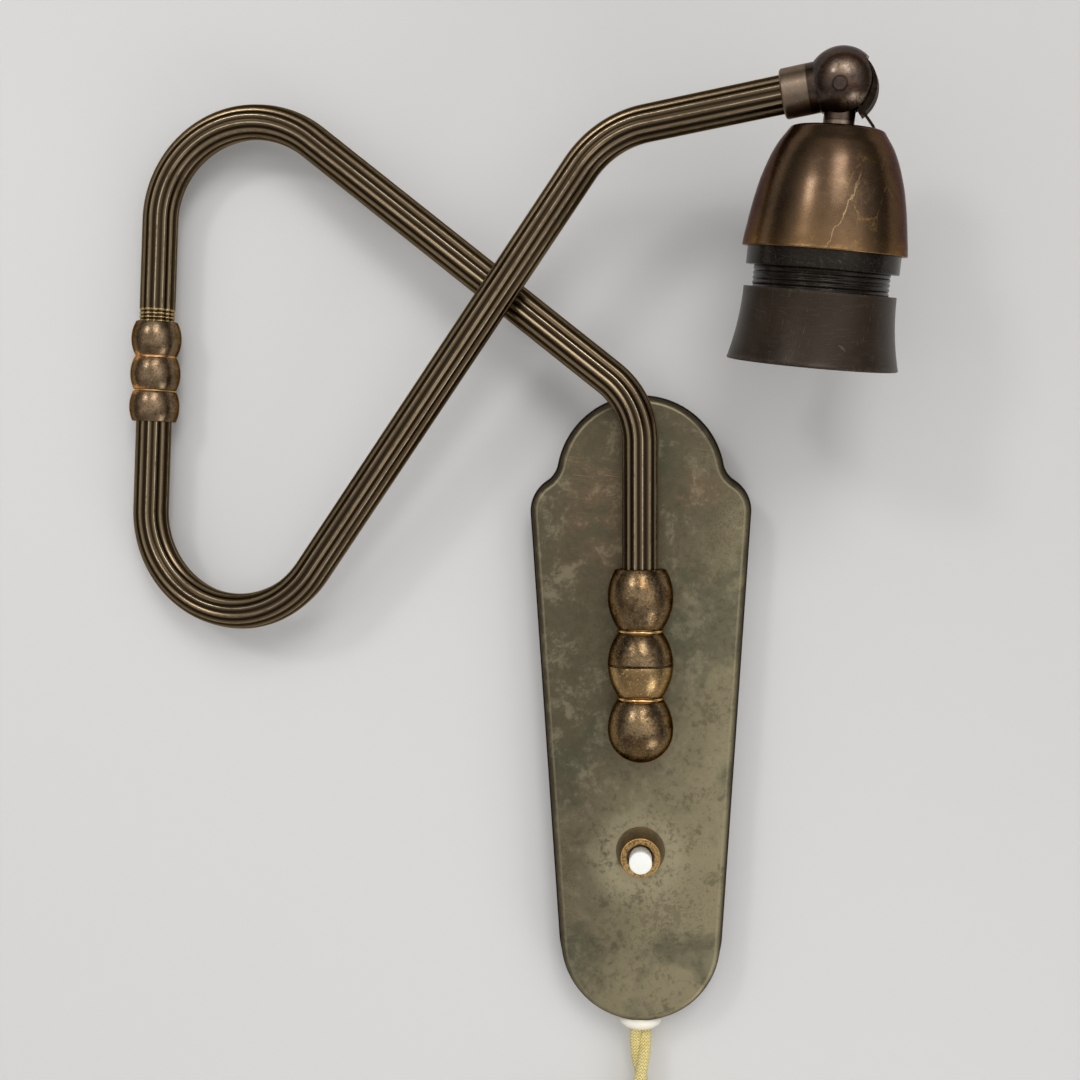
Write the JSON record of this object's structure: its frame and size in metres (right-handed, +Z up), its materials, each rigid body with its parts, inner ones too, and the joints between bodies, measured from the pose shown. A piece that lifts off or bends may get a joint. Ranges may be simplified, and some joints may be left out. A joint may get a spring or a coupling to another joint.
{
  "type": "swing arm wall lamp",
  "caption": "Jointed wall lamp with a long shaped wall plate, fluted folding arms, ball joint, bare lampholder, push button and plug-in cord.",
  "frame": {"origin": "on the wall plane at half the height of the wall plate, midway between the two wall screws", "axes": "+Z up, -Y out of the wall towards the room, +X to the right as seen from the room"},
  "size_m": [0.2441, 0.0743, 0.5197],
  "materials": {
    "patina": "satin",
    "bronze_tube": "satin",
    "brown_brass": "satin",
    "bright_brass": "polished",
    "ball_bronze": "gloss",
    "copper_brown": "satin",
    "steel": "satin",
    "black_phenolic": "gloss",
    "brown_phenolic": "satin",
    "white_plastic": "gloss",
    "ivory_plastic": "satin",
    "ceramic": "gloss",
    "gold_textile": "matte",
    "gold_plastic": "satin",
    "tie_rubber": "matte"
  },
  "bodies": {
    "wall_base": {"mounting_bar": "steel", "cover_plate": "patina", "side_screws": "steel", "knuckle_base": "brown_brass", "base_plug": "brown_brass", "stem": "bright_brass", "stem_collar": "brown_brass", "stem_washer": "steel", "stem_nut": "bright_brass", "lower_swing_washer": "bright_brass", "switch_body": "ivory_plastic", "switch_nut": "copper_brown", "terminal_block": "white_plastic", "terminal_screws": "bright_brass", "cord_bush": "ivory_plastic", "cord_drop": "gold_textile", "cord_coil": "gold_textile", "cord_tail": "gold_textile", "coil_tie": "tie_rubber", "plug_body": "gold_plastic", "plug_pins": "steel"},
    "button": {"push_button": "white_plastic"},
    "lower_arm": {"knuckle_turret": "brown_brass", "lower_arm_tube": "bronze_tube", "lower_spindle_nut": "bright_brass", "elbow_upper": "brown_brass", "upper_swing_washer": "bright_brass"},
    "upper_arm": {"elbow_lower": "brown_brass", "upper_spindle_clip": "bright_brass", "upper_arm_tube": "bronze_tube", "swivel_nipple": "bright_brass", "nipple_clip": "steel"},
    "ball": {"ball_joint": "ball_bronze", "tilt_pin": "copper_brown"},
    "head": {"head_neck": "brown_brass", "slot_cover": "ball_bronze", "head_cap": "brown_brass", "cap_nut": "bright_brass", "lampholder": "black_phenolic", "socket_base": "ceramic", "socket_shell": "bright_brass", "centre_contact": "bright_brass"},
    "shade_ring": {"shade_ring": "brown_phenolic"}
  },
  "joints": [
    {"name": "lower_swing", "type": "hinge", "parent": "wall_base", "child": "lower_arm", "pos_m": [0, -0.027, 0.0155], "axis": [0, 0, 1], "range_deg": [0, 192]},
    {"name": "upper_swing", "type": "hinge", "parent": "lower_arm", "child": "upper_arm", "pos_m": [-0.15844, -0.00909, 0.108], "axis": [0.047, -0.0053, 0.9989], "range_deg": [-160, 0]},
    {"name": "head_swivel", "type": "hinge", "parent": "upper_arm", "child": "ball", "pos_m": [0.05751, -0.05646, 0.18662], "axis": [0.9673, -0.2133, 0.1375], "range_deg": [-80, 80]},
    {"name": "head_tilt", "type": "hinge", "parent": "ball", "child": "head", "pos_m": [0.05776, -0.05634, 0.18504], "axis": [-0.2001, -0.9743, -0.1038], "range_deg": [0, 90]},
    {"name": "button_press", "type": "slide", "parent": "wall_base", "child": "button", "axis": [0, 1, 0], "range_m": [0, 0.003], "stiffness_N_per_m": 120, "springref_m": -0.002},
    {"name": "ring_unscrew", "type": "slide", "parent": "head", "child": "shade_ring", "axis": [0.0944, -0.1246, 0.9877], "range_m": [0, 0.0055]}
  ]
}
